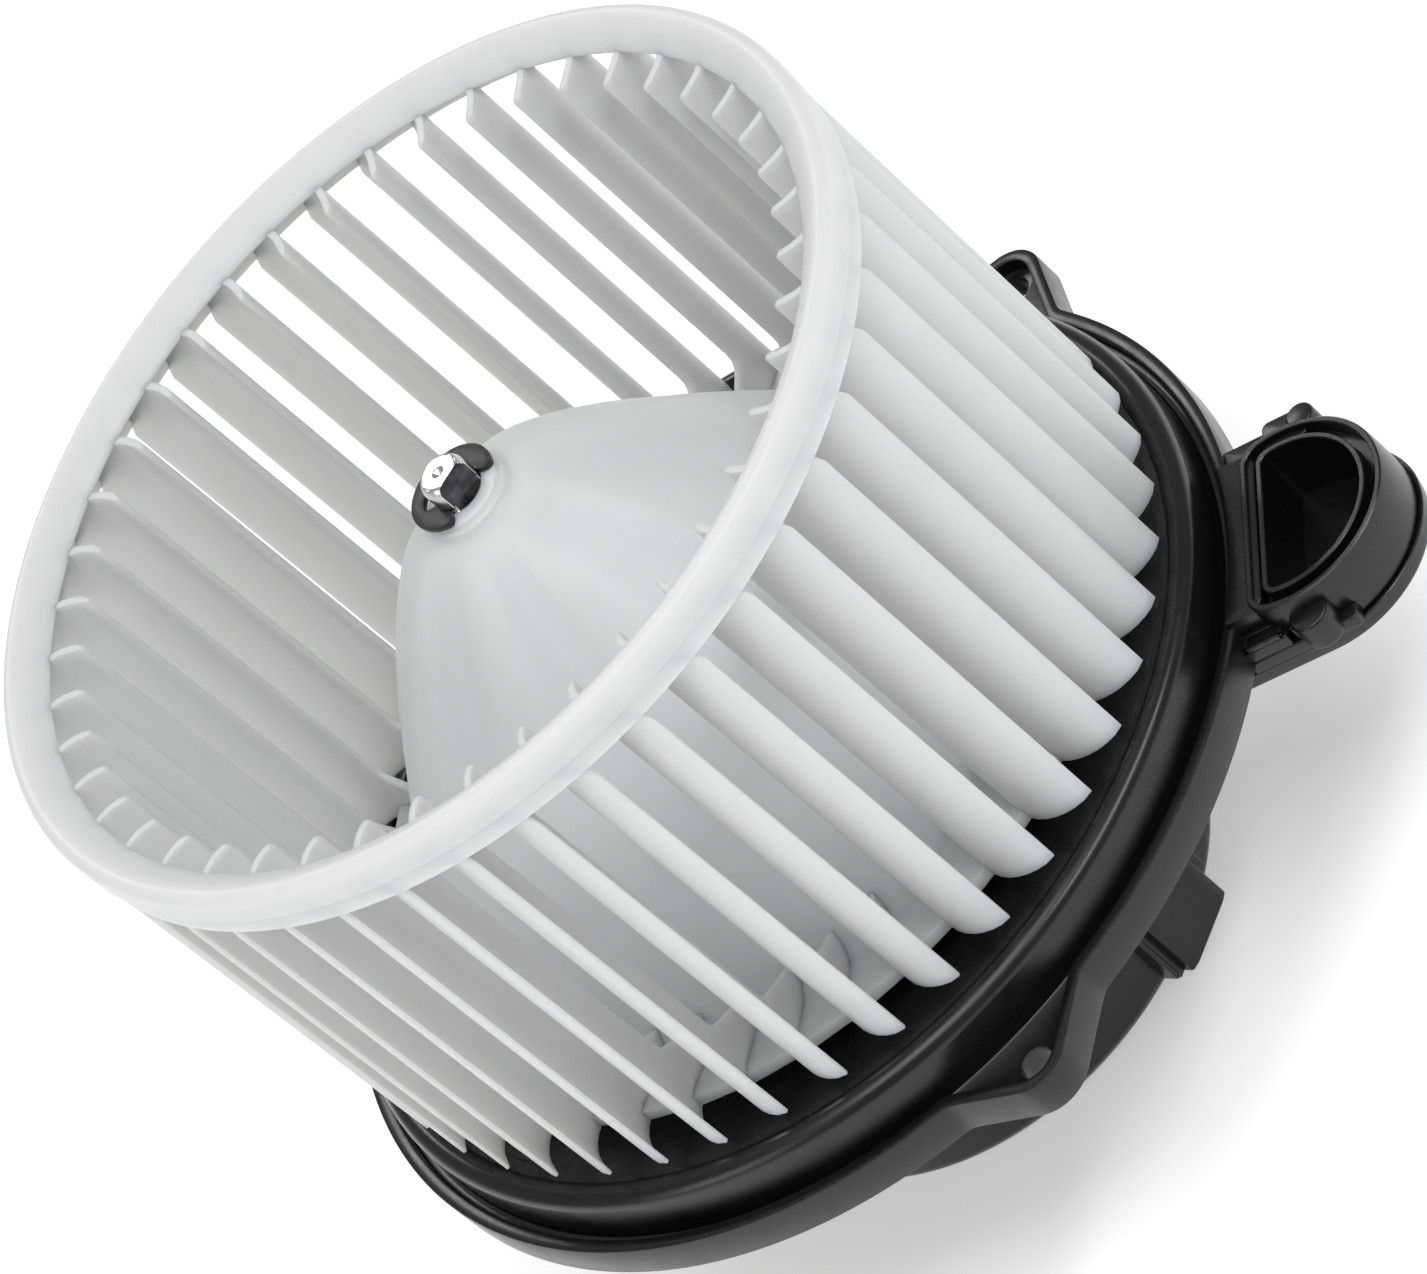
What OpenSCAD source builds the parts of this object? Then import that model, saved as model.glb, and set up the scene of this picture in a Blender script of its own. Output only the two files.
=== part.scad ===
// Blower motor wheel: a squirrel-cage fan wheel on a brushed DC motor, held in a flanged
// plastic housing with a D-shaped cooling-air port. The origin is the centre of the three
// mounting screws on the seating face of the flange. +Z runs up the shaft to the open end
// of the wheel, and +X points at the cooling-air port.

/* [Fan wheel] */
// Diameter across the outer edges of the blades
wheel_d = 155; // [153:0.5:156]
// Number of blades
blade_count = 44; // [40:1:46]
// Height of the lower ends of the blades above the seating face
blade_z0 = 10; // [9.5:0.5:11]
// Height of the underside of the top ring
ring_z0 = 84; // [82:0.5:86]
// Height of the top of the top ring
ring_z1 = 92.8; // [92:0.2:94]
// Inner diameter of the top ring
ring_id = 142.6; // [142:0.2:144]
// Blade thickness
blade_t = 1.3; // [1:0.1:1.6]
// Radius of the blade's curve
blade_curve = 9.2; // [9:0.1:10]
// Outer diameter of the hub's lower rim
hub_rim_d = 138.2; // [137:0.2:139]
// Height of the dome's shoulder below the clip
dome_top = 76; // [75:0.5:76.5]

/* [Flange] */
// Diameter of the flange's outer skirt
flange_d = 170; // [169:0.5:172]
// Height of the skirt below the seating face
skirt_h = 6.5; // [6:0.5:7]
// Pitch circle diameter of the mounting screws
screw_pcd = 177; // [176:0.5:178]
// Diameter of the mounting screw holes
screw_hole_d = 5.5; // [5:0.1:6]
// Top of the flat plate under the blades
floor_z = 5.5; // [5:0.1:6]
// Top of the round pilot bead
bead_top = 7.5; // [7:0.1:8]

/* [Cooling-air port] */
// Distance from the shaft to the centre of the port's round side
port_x = 93.9; // [93.5:0.1:94.5]
// Radius of the port's opening
port_r = 13.4; // [13:0.1:13.6]
// Height of the port's mouth above the seating face
port_top = 1.5; // [1:0.1:2]

/* [Motor] */
// Diameter of the shaft
shaft_d = 8; // [7.8:0.1:8]
// Outer diameter of the steel can
can_d = 72; // [71:0.5:72]
// Outer diameter of the plastic motor cover
cover_d = 94; // [93:0.5:95]
// Bottom of the motor cover, below the seating face
cover_z0 = -50; // [-51:0.5:-50]
// Number of armature slots
slot_count = 12; // [10:2:14]
// Distance from the shaft's middle to the flat near its end
shaft_flat = 2.55; // [2.4:0.05:2.8]

/* [Hidden] */

fine = 96;
wall = 2.2;
wheel_r = wheel_d / 2;
ring_or = wheel_r + 0.7;
ring_ir = ring_id / 2;
ring_round = 1.5;
ring_skin = 1.7;
lip_z = 88.5;
blade_in_r = wheel_r - 11.5;
blade_turn = 5.85;
blade_a0 = 240;
blade_a1 = 345;
hub_rim_r = hub_rim_d / 2;
hub_rim_h = 2.4;
dome_nose_r = 8;
dome_foot_r = 60;
dome_foot_z = blade_z0 + hub_rim_h;
dome_power = 1.4;
dome_steps = 14;
dome_wall = 2.2;
collar_r = 6.6;
collar_z = dome_top + 2.6;
neck_z0 = 58;
clip_z = collar_z + 0.1;
clip_t = 0.9;
clip_r = 7.6;
clip_back = 1.4;
clip_in_r = 6.15;
groove_r = 3.8;
shaft_r = shaft_d / 2;
shaft_z0 = -45;
shaft_z1 = 83.9;
shaft_flat_z0 = neck_z0 - 2;
shaft_flat_angle = -41;
run_gap = 0.05;
flange_r = flange_d / 2;
rim_w = 2.2;
channel_z = -2.5;
bead_r = 2.4;
bead_mid_r = 78.6;
plate_t = 2.5;
tube_ir = 39.3;
tube_or = 41.5;
tube_top = 24;
ear_angles = [60, 180, 300];
ear_round = 6.6;
ear_foot = 14.5;
screw_r = screw_pcd / 2;
under_z = channel_z - plate_t;
port_lip_w = 0.9;
port_groove_w = 1.9;
port_wall_w = 1.1;
port_flat = 90.5;
port_or = port_r + port_lip_w + port_groove_w + port_wall_w;
port_or_flat = port_flat - port_lip_w - port_groove_w - port_wall_w;
duct_z0 = -12;
duct_wall = 2;
cover_r = cover_d / 2;
can_r = can_d / 2;
can_t = 1.8;
can_z0 = -40;
can_z1 = 36;
can_seat_r = 9;
can_seat_h = 8;
bearing_r = 6.5;
bearing_h = 6;
upper_bearing_z = can_z1 + 0.8;
plate_z0 = can_z0 - 2;
lower_seat_h = 4.5;
magnet_r1 = can_r - can_t;
magnet_t = 8;
magnet_half = 68;
core_r = 24.6;
core_z0 = -14;
core_z1 = 22;
comm_r = 11;
comm_z0 = -36;
comm_z1 = -24;
brush_w = 5;
brush_h = 7;
brush_z = -33.5;
brush_r0 = comm_r + 0.3;
brush_len = 9;
brush_slide_gap = 0.15;
box_t = 0.8;
spring_r1 = brush_r0 + brush_len + 6;
tower_angle = -27;
tower_w = 14;
tower_r0 = 39.2;
tower_r1 = 50.5;
tower_z1 = -24;
terminal_r = 43.5;
terminal_gap = 2.8;
lead_z = tower_z1 + 2.2;
clip_angle = -41;
socket_depth = 13;
cover_screw_angles = [30, 150, 270];
cover_screw_pos = 53;

// Points of an arc from angle a0 to a1 in n steps
function arc(cx, cy, r, a0, a1, n) =
    [for (i = [0:n]) [cx + r * cos(a0 + (a1 - a0) * i / n), cy + r * sin(a0 + (a1 - a0) * i / n)]];

// Height of the dome's outer face at radius r
function dome_z(r) =
    dome_foot_z + (dome_top - dome_foot_z)
    * (1 - pow((r - dome_nose_r) / (dome_foot_r - dome_nose_r), dome_power));

// Radius of the dome's outer face at step i, from its nose to its foot
function dome_r(i) = dome_nose_r + (dome_foot_r - dome_nose_r) * i / dome_steps;

// Ring sector between radii r0 and r1, centred on angle a, half as wide as half
module sector(r0, r1, a, half) {
    difference() {
        circle(r1, $fn = fine);
        circle(r0, $fn = fine);
        rotate(a) polygon([
            [0, 0], [2 * r1 * cos(half), 2 * r1 * sin(half)], [0, 4 * r1], [-4 * r1, 4 * r1],
            [-4 * r1, -4 * r1], [0, -4 * r1], [2 * r1 * cos(half), -2 * r1 * sin(half)]
        ]);
    }
}

// Tube from z0 to z1
module tube(r0, r1, z0, z1) {
    translate([0, 0, z0]) difference() {
        cylinder(r = r1, h = z1 - z0, $fn = fine);
        translate([0, 0, -1]) cylinder(r = r0, h = z1 - z0 + 2, $fn = fine);
    }
}

// One blade's section: a curved plate, nearly radial at the hub and leaning forward at its tip
module blade_section(r_out) {
    cx = wheel_r - blade_curve * 0.88;
    cy = blade_curve * 0.413;
    intersection() {
        difference() {
            polygon(concat(
                arc(cx, cy, blade_curve, blade_a0, blade_a1, 9),
                arc(cx, cy, blade_curve - blade_t, blade_a1, blade_a0, 9)
            ));
            circle(blade_in_r, $fn = fine);
        }
        circle(r_out, $fn = fine);
    }
}

module wheel_ring() {
    top = ring_z1 - ring_round;
    color("ghostwhite") rotate_extrude($fn = fine) polygon(concat(
        [[ring_or - ring_skin - 0.3, ring_z0], [wheel_r + 0.4, ring_z0], [wheel_r + 0.4, lip_z - 1.3]],
        [[ring_or, lip_z - 1]],
        arc(ring_or - ring_round, top, ring_round, 0, 100, 8),
        [[ring_ir + 2, lip_z + 2.3], [ring_ir + 0.6, lip_z + 1.2], [ring_ir, lip_z + 0.6], [ring_ir, lip_z]],
        [[ring_or - ring_skin - 0.3, lip_z]]
    ));
}

module wheel_blades() {
    color("white") for (i = [0:blade_count - 1]) rotate(blade_turn + i * 360 / blade_count) {
        translate([0, 0, blade_z0]) linear_extrude(ring_z0 - blade_z0) blade_section(wheel_r);
        translate([0, 0, ring_z0]) linear_extrude(lip_z - ring_z0)
            blade_section(ring_or - ring_skin - 0.3);
    }
}

module wheel_hub() {
    outer = [for (i = [0:dome_steps]) [dome_r(i), dome_z(dome_r(i))]];
    inner = [for (i = [dome_steps:-1:0]) [dome_r(i) - 1.6, dome_z(dome_r(i)) - dome_wall]];
    color("whitesmoke") difference() {
        union() {
            rotate_extrude($fn = fine) polygon(concat(
                outer,
                [[hub_rim_r, dome_foot_z], [hub_rim_r, blade_z0], [dome_foot_r - 2, blade_z0]],
                inner
            ));
            translate([0, 0, neck_z0]) cylinder(r = collar_r, h = collar_z - neck_z0, $fn = fine);
            translate([0, 0, dome_top - 6]) cylinder(r = dome_nose_r, h = 6, $fn = fine);
            for (i = [0:7]) rotate(i * 45) translate([collar_r - 0.5, -0.9, neck_z0 + 2])
                cube([12, 1.8, 8]);
        }
        translate([0, 0, neck_z0 - 1]) linear_extrude(collar_z - neck_z0 + 2) shaft_section(shaft_r);
    }
}

// Section of the shaft's upper end: round, with one flat side
module shaft_section(r) {
    difference() {
        circle(r, $fn = fine);
        rotate(shaft_flat_angle) translate([shaft_flat, -2 * r]) square([2 * r, 4 * r]);
    }
}

module spring_clip() {
    color("dimgray") translate([0, 0, clip_z]) rotate(clip_angle) linear_extrude(clip_t) difference() {
        translate([-clip_back, 0]) circle(clip_r, $fn = fine);
        circle(groove_r + 0.05, $fn = fine);
        difference() {
            sector(groove_r - 1, clip_in_r, 180, 62);
            sector(0, clip_in_r + 1, 180, 18);
        }
        polygon([[0, 0], [12, 13], [12, -13]]);
    }
}

module shaft() {
    end_r = shaft_r - 0.6;
    color("lightgray") difference() {
        union() {
            translate([0, 0, shaft_z0]) cylinder(r = shaft_r, h = shaft_flat_z0 - shaft_z0, $fn = fine);
            translate([0, 0, shaft_flat_z0]) linear_extrude(clip_z - shaft_flat_z0)
                shaft_section(shaft_r);
            translate([0, 0, clip_z]) linear_extrude(clip_t) shaft_section(groove_r);
            translate([0, 0, clip_z + clip_t]) intersection() {
                linear_extrude(shaft_z1 - clip_z - clip_t) shaft_section(shaft_r);
                cylinder(r1 = shaft_r + 2.4, r2 = end_r, h = shaft_z1 - clip_z - clip_t, $fn = fine);
            }
        }
        translate([0, 0, shaft_z1 - 0.8]) cylinder(r1 = 0.2, r2 = 0.9, h = 0.81, $fn = 24);
    }
}

module slinger_washer() {
    color("black") tube(shaft_r, 7.5, can_z1 + can_seat_h + 2, can_z1 + can_seat_h + 3.2);
}

module armature_core() {
    tooth = 360 / slot_count;
    color("slategray") translate([0, 0, core_z0]) linear_extrude(core_z1 - core_z0) difference() {
        circle(core_r, $fn = fine);
        circle(shaft_r, $fn = fine);
        for (i = [0:slot_count - 1]) rotate((i + 0.5) * tooth) {
            translate([core_r - 3, -1]) square([4, 2]);
            translate([core_r - 6.5, 0]) circle(3.6, $fn = 32);
            translate([core_r - 11, 0]) circle(2, $fn = 32);
        }
    }
}

module armature_windings() {
    tooth = 360 / slot_count;
    color("chocolate") union() {
        for (i = [0:slot_count - 1]) rotate((i + 0.5) * tooth)
            translate([core_r - 6.5, 0, core_z0 - 1])
                cylinder(r = 3.2, h = core_z1 - core_z0 + 2, $fn = 32);
        for (z = [core_z0 - 4.2, core_z1 + 4.2]) translate([0, 0, z])
            rotate_extrude($fn = fine) union() {
                translate([12, -4]) square([6.4, 8]);
                translate([18.4, 0]) circle(4, $fn = 48);
            }
    }
}

module commutator() {
    bar = 360 / (2 * slot_count);
    color("peru") union() {
        translate([0, 0, comm_z0]) linear_extrude(comm_z1 - comm_z0) difference() {
            circle(comm_r, $fn = fine);
            circle(shaft_r, $fn = fine);
            for (i = [0:2 * slot_count - 1]) rotate(i * bar) translate([comm_r - 1.5, -0.25])
                square([3, 0.5]);
        }
        tube(comm_r - 2, comm_r + 1.6, comm_z1 - 2, comm_z1);
    }
}

module thrust_washers() {
    color("white") union() {
        tube(shaft_r, 5, upper_bearing_z - 2.2, upper_bearing_z - 0.4);
        tube(shaft_r, 5, comm_z0 - 2.4, comm_z0 - 0.6);
    }
}

// Outline of one mounting ear, pointing along +X
module ear_outline(grow) {
    tip = ear_round + grow;
    union() {
        translate([screw_r, 0]) circle(tip, $fn = fine);
        polygon([
            [flange_r - 6, -ear_foot - grow], [flange_r - 1.5, -ear_foot - grow],
            [screw_r + tip * cos(45), -tip * sin(45)], [screw_r + tip * cos(45), tip * sin(45)],
            [flange_r - 1.5, ear_foot + grow], [flange_r - 6, ear_foot + grow]
        ]);
    }
}

// D shape of the port: a circle cut off by a straight side
module d_outline(r, flat) {
    intersection() {
        translate([port_x, 0]) circle(r, $fn = fine);
        translate([flat, -r]) square([2 * r, 2 * r]);
    }
}

// The flange turned about the shaft: motor tube, plate, pilot bead, channel and skirt
module flange_section() {
    polygon(concat(
        [[tube_ir, floor_z - 6], [tube_ir, tube_top], [tube_or, tube_top], [tube_or, floor_z],
         [bead_mid_r - bead_r, floor_z]],
        arc(bead_mid_r, bead_top - bead_r, bead_r, 170, 0, 12),
        [[bead_mid_r + bead_r, channel_z], [flange_r - rim_w, channel_z], [flange_r - rim_w, 0],
         [flange_r, 0], [flange_r, -skirt_h], [flange_r - rim_w, -skirt_h],
         [flange_r - rim_w, under_z], [bead_mid_r + bead_r - plate_t, under_z],
         [bead_mid_r + bead_r - plate_t, floor_z - plate_t], [tube_or, floor_z - plate_t],
         [tube_or, floor_z - 6]]
    ));
}

module flange_plate() {
    color([0.13, 0.13, 0.14]) difference() {
        union() {
            rotate_extrude($fn = fine) flange_section();
            for (a = ear_angles) rotate(a) {
                difference() {
                    translate([0, 0, -skirt_h]) linear_extrude(skirt_h) ear_outline(0);
                    translate([0, 0, channel_z]) linear_extrude(5) ear_outline(-rim_w);
                    translate([0, 0, -skirt_h - 1]) linear_extrude(skirt_h + under_z + 1)
                        ear_outline(-rim_w);
                    translate([0, 0, -skirt_h - 1])
                        cylinder(r = flange_r - rim_w, h = 20, $fn = fine);
                }
                translate([screw_r, 0, -skirt_h])
                    cylinder(r = 4.4, h = skirt_h + channel_z, $fn = fine);
            }
            translate([0, 0, -skirt_h]) linear_extrude(skirt_h + port_top)
                d_outline(port_or, port_or_flat);
            translate([port_or_flat - 5, -15, -skirt_h]) cube([6, 30, skirt_h]);
            translate([81.5, -port_or - 2.6, -skirt_h]) cube([9.5, 6, skirt_h - 1]);
            translate([98.5, -port_or - 1.6, -skirt_h]) cylinder(r = 3.2, h = skirt_h - 0.5, $fn = fine);
            translate([84, port_or - 3.4, -skirt_h]) cube([10, 6, skirt_h - 0.5]);
            for (i = [1:11]) rotate(i * 30) translate([tube_or + 1, -0.9, -3])
                cube([bead_mid_r - tube_or - 1.5, 1.8, floor_z - plate_t + 3.4]);
            for (a = cover_screw_angles) rotate(a) translate([cover_screw_pos, 0, -3])
                cylinder(r = 3.6, h = floor_z - plate_t + 3.5, $fn = fine);
        }
        for (a = ear_angles) rotate(a) {
            translate([screw_r, 0, -skirt_h - 1]) cylinder(d = screw_hole_d, h = skirt_h + 2, $fn = fine);
            intersection() {
                translate([0, 0, channel_z]) linear_extrude(5) ear_outline(-rim_w);
                tube(flange_r - rim_w - 0.5, flange_r + 1, -3, 2);
            }
        }
        translate([0, 0, -skirt_h - 1]) linear_extrude(skirt_h + 10) d_outline(port_r, port_flat);
        translate([0, 0, -0.5]) linear_extrude(5) difference() {
            d_outline(port_or - port_wall_w, port_or_flat + port_wall_w);
            d_outline(port_r + port_lip_w, port_flat - port_lip_w);
        }
        translate([77, -13, -skirt_h - 1]) cube([16, 26, skirt_h + 1 + under_z + 0.01]);
        for (a = cover_screw_angles) rotate(a) translate([cover_screw_pos, 0, -4])
            cylinder(r = 1.5, h = 6.5, $fn = fine);
    }
}

// Outline of the duct that carries air from the port to the motor
module duct_outline(inset) {
    union() {
        d_outline(port_or - inset, port_x - 1);
        translate([cover_r - 5, -port_or + inset]) square([port_x - cover_r + 5, 2 * (port_or - inset)]);
    }
}

module motor_cover() {
    top = floor_z - plate_t;
    color([0.16, 0.16, 0.17]) difference() {
        union() {
            translate([0, 0, cover_z0 + 3]) cylinder(r = cover_r, h = top - cover_z0 - 3, $fn = fine);
            translate([0, 0, cover_z0]) cylinder(r1 = cover_r - 3, r2 = cover_r, h = 3, $fn = fine);
            translate([0, 0, duct_z0]) linear_extrude(-skirt_h - duct_z0) duct_outline(0);
            translate([cover_r - 4, -port_or, -skirt_h - 1])
                cube([bead_mid_r - 2.1 - cover_r + 4, 2 * port_or, top + skirt_h + 1]);
            rotate(tower_angle) translate([cover_r - 8, -tower_w / 2, tower_z1])
                cube([tower_r1 - cover_r + 8, tower_w, top - tower_z1 - 6]);
            for (a = cover_screw_angles) rotate(a) {
                translate([cover_screw_pos, 0, -7]) cylinder(r = 3.6, h = 4, $fn = fine);
                translate([cover_r - 1, -2, -7]) cube([cover_screw_pos - cover_r, 4, 4]);
            }
        }
        translate([0, 0, cover_z0 + wall]) cylinder(r = cover_r - wall, h = 100, $fn = fine);
        translate([0, 0, duct_z0 + duct_wall]) linear_extrude(30) duct_outline(duct_wall);
        for (a = cover_screw_angles) rotate(a) translate([cover_screw_pos, 0, -8])
            cylinder(r = 1.6, h = 6, $fn = fine);
        for (i = [1:11]) rotate(i * 30) translate([cover_r - 3, -1, -3.1]) cube([40, 2, 8]);
        rotate(tower_angle) translate([tower_r0 - 0.1, -tower_w / 2, cover_z0 - 1])
            cube([20, tower_w, tower_z1 - cover_z0 + 1]);
    }
}

module connector_shell() {
    color([0.1, 0.1, 0.11]) rotate(tower_angle) difference() {
        union() {
            translate([tower_r0, -tower_w / 2, cover_z0])
                cube([tower_r1 - tower_r0, tower_w, tower_z1 - cover_z0]);
            translate([tower_r1 - 1, -2, cover_z0 + 6]) cube([2, 4, 10]);
        }
        translate([tower_r0 + 1.6, 1.6 - tower_w / 2, cover_z0 - 1])
            cube([tower_r1 - tower_r0 - 3.2, tower_w - 3.2, socket_depth + 1]);
        for (s = [-1, 1]) translate([terminal_r, s * terminal_gap - 1.3, cover_z0]) cube([0.8, 2.6, 60]);
    }
}

module connector_terminals() {
    color("gold") rotate(tower_angle) for (s = [-1, 1])
        translate([terminal_r, s * terminal_gap - 1.3, cover_z0 + 6])
            cube([0.8, 2.6, tower_z1 - cover_z0 - 3]);
}

module cover_screws() {
    color("gray") for (a = cover_screw_angles) rotate(a) translate([cover_screw_pos, 0, 0]) union() {
        translate([0, 0, -9.2]) difference() {
            cylinder(r = 3.2, h = 2.2, $fn = fine);
            translate([0, 0, -1]) cylinder(r = 1.6, h = 2.2, $fn = 6);
        }
        translate([0, 0, -7.1]) cylinder(r = 1.45, h = 9, $fn = fine);
    }
}

module motor_can() {
    color("lightsteelblue") difference() {
        union() {
            translate([0, 0, can_z0]) cylinder(r = can_r, h = can_z1 - can_z0, $fn = fine);
            translate([0, 0, can_z1 - 1]) cylinder(r = can_seat_r, h = can_seat_h + 1, $fn = fine);
        }
        translate([0, 0, can_z0 - 1]) cylinder(r = can_r - can_t, h = can_z1 - can_z0 - can_t + 1, $fn = fine);
        translate([0, 0, can_z0]) cylinder(r = bearing_r + 0.6, h = can_z1 - can_z0 + can_seat_h - 1.2, $fn = fine);
        translate([0, 0, can_z1]) cylinder(r = shaft_r + 0.6, h = can_seat_h + 2, $fn = fine);
        for (i = [0:5]) rotate(i * 60 + 30) translate([20, 0, can_z1 - 4])
            cylinder(r = 4, h = 6, $fn = fine);
        rotate(tower_angle) for (s = [-1, 1]) translate([can_r - 4, s * terminal_gap, lead_z])
            rotate([0, 90, 0]) cylinder(r = 1.1, h = 6, $fn = fine);
    }
}

module end_plate() {
    color("silver") difference() {
        union() {
            tube(can_r - can_t, can_r, plate_z0, can_z0);
            translate([0, 0, plate_z0]) cylinder(r = can_r, h = can_t, $fn = fine);
            translate([0, 0, plate_z0 - lower_seat_h]) cylinder(r = can_seat_r, h = lower_seat_h, $fn = fine);
        }
        translate([0, 0, plate_z0 - lower_seat_h + 1.2]) cylinder(r = bearing_r + 0.6, h = 10, $fn = fine);
        for (i = [0:5]) rotate(i * 60) translate([22, 0, plate_z0 - 1]) cylinder(r = 4.5, h = 6, $fn = fine);
    }
}

module magnet(a) {
    color([0.25, 0.25, 0.27]) translate([0, 0, core_z0 - 4]) linear_extrude(core_z1 - core_z0 + 8)
        sector(magnet_r1 - magnet_t, magnet_r1, a, magnet_half);
}

module magnet_front() {
    magnet(-90);
}

module magnet_back() {
    magnet(90);
}

module magnet_springs() {
    color("gainsboro") for (a = [0, 180]) translate([0, 0, core_z0]) linear_extrude(core_z1 - core_z0)
        sector(magnet_r1 - 1.2, magnet_r1, a, 90 - magnet_half);
}

module bearing(z) {
    color("darkgoldenrod") tube(shaft_r + run_gap, bearing_r, z, z + bearing_h);
}

module upper_bearing() {
    bearing(upper_bearing_z);
}

module lower_bearing() {
    bearing(plate_z0 - lower_seat_h + 1.2);
}

module upper_bearing_retainer() {
    color("gainsboro") translate([0, 0, upper_bearing_z - 1.4]) linear_extrude(1) difference() {
        circle(bearing_r + 0.6, $fn = fine);
        circle(5.4, $fn = fine);
    }
}

module lower_bearing_retainer() {
    color("gainsboro") translate([0, 0, plate_z0 + can_t]) linear_extrude(0.5) difference() {
        circle(12, $fn = fine);
        circle(bearing_r, $fn = fine);
        for (i = [0:5]) rotate(i * 60 + 30) translate([9.3, 0]) circle(1.5, $fn = fine);
    }
}

module upper_oil_felt() {
    color("wheat") tube(bearing_r, bearing_r + 0.6, upper_bearing_z + 1, upper_bearing_z + 5);
}

module lower_oil_felt() {
    z = plate_z0 - lower_seat_h + 2;
    color("wheat") tube(bearing_r, bearing_r + 0.6, z, z + 4);
}

module upper_isolator() {
    color([0.2, 0.2, 0.2]) union() {
        tube(can_r, tube_ir, 6, 20);
        tube(can_r, tube_ir + 1.4, tube_top, tube_top + 2);
        tube(can_r, tube_ir, 20, tube_top);
    }
}

module lower_isolator() {
    color([0.2, 0.2, 0.2]) tube(14, 30, cover_z0 + wall, plate_z0);
}

module brush_card() {
    z = brush_z - 3.4;
    color("saddlebrown") difference() {
        translate([0, 0, z]) cylinder(r = can_r - can_t, h = 2, $fn = fine);
        translate([0, 0, z - 1]) cylinder(r = comm_r + 2, h = 4, $fn = fine);
        for (i = [0:3]) rotate(i * 90 + 45) translate([24, 0, z - 1]) cylinder(r = 4, h = 4, $fn = fine);
    }
}

module brush_holders() {
    w = brush_w + 2 * brush_slide_gap;
    h = brush_h + 2 * brush_slide_gap;
    z = brush_z - brush_slide_gap;
    color("darkkhaki") for (a = [0, 180]) rotate(a) difference() {
        translate([comm_r + 2.4, -w / 2 - box_t, z - 1.25])
            cube([spring_r1 - comm_r - 2.4 + box_t, w + 2 * box_t, h + 1.25 + box_t]);
        translate([comm_r, -w / 2, z]) cube([spring_r1 - comm_r, w, h]);
    }
}

module brush(a) {
    color([0.18, 0.18, 0.18]) rotate(a) translate([brush_r0, -brush_w / 2, brush_z])
        cube([brush_len, brush_w, brush_h]);
}

module brush_right() {
    brush(0);
}

module brush_left() {
    brush(180);
}

// Coil spring behind a brush, as rings along the coil's path
module brush_spring(a) {
    turns = 4;
    r0 = brush_r0 + brush_len + 0.4;
    pitch = (spring_r1 - r0 - 0.9) / turns;
    color("silver") rotate(a) translate([r0 + 0.3, 0, brush_z + brush_h / 2]) rotate([0, 90, 0]) union() {
        for (i = [0:turns]) translate([0, 0, i * pitch]) rotate_extrude($fn = 32)
            translate([1.8, 0]) circle(0.28, $fn = 16);
        translate([1.8, 0, 0]) cylinder(r = 0.2, h = turns * pitch, $fn = 16);
    }
}

module brush_spring_right() {
    brush_spring(0);
}

module brush_spring_left() {
    brush_spring(180);
}

module choke_coils() {
    color("sienna") for (a = [90, 270]) rotate(a) translate([22, -6, brush_z + 1.6]) rotate([-90, 0, 0]) union() {
        cylinder(r = 1.6, h = 13, $fn = fine);
        for (i = [0:5]) translate([0, 0, 1.4 + 2 * i]) rotate_extrude($fn = 32)
            translate([2, 0]) circle(0.8, $fn = 16);
    }
}

module lead_wires() {
    color("firebrick") rotate(tower_angle) for (s = [-1, 1]) translate([31, s * terminal_gap, lead_z])
        rotate([0, 90, 0]) cylinder(r = 0.9, h = terminal_r - 31, $fn = 24);
}

wheel_ring();
wheel_blades();
wheel_hub();
spring_clip();
shaft();
slinger_washer();
armature_core();
armature_windings();
commutator();
thrust_washers();
flange_plate();
motor_cover();
connector_shell();
connector_terminals();
cover_screws();
motor_can();
end_plate();
magnet_front();
magnet_back();
magnet_springs();
upper_bearing();
lower_bearing();
upper_bearing_retainer();
lower_bearing_retainer();
upper_oil_felt();
lower_oil_felt();
upper_isolator();
lower_isolator();
brush_card();
brush_holders();
brush_left();
brush_right();
brush_spring_left();
brush_spring_right();
choke_coils();
lead_wires();
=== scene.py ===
import math

import bpy
import numpy as np
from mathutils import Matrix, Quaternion, Vector


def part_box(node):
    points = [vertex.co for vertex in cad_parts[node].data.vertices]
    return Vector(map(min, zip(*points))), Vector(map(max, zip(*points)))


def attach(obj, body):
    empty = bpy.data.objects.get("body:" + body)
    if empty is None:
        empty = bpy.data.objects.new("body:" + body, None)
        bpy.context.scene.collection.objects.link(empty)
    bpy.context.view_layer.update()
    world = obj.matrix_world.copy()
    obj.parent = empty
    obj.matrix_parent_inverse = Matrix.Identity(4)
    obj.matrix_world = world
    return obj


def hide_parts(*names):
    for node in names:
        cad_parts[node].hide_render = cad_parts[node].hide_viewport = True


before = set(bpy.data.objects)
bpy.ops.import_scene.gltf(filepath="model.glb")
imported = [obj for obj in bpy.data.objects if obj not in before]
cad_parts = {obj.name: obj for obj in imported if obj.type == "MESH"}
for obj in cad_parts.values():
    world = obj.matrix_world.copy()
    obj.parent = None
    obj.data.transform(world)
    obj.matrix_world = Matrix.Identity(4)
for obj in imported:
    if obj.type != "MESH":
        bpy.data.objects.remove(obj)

# Looks of a heater blower: a white fan wheel on a motor in a black flanged housing.
# Lengths below are in millimetres and are turned into metres when a mesh is made.
MM = 0.001
SCENE = bpy.context.scene
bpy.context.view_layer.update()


# ---------------------------------------------------------------- sizes from the frame
def reach(node):
    """Lowest and highest corner of a CAD node, in millimetres."""
    low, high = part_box(node)
    return np.array(low) / MM, np.array(high) / MM


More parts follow.
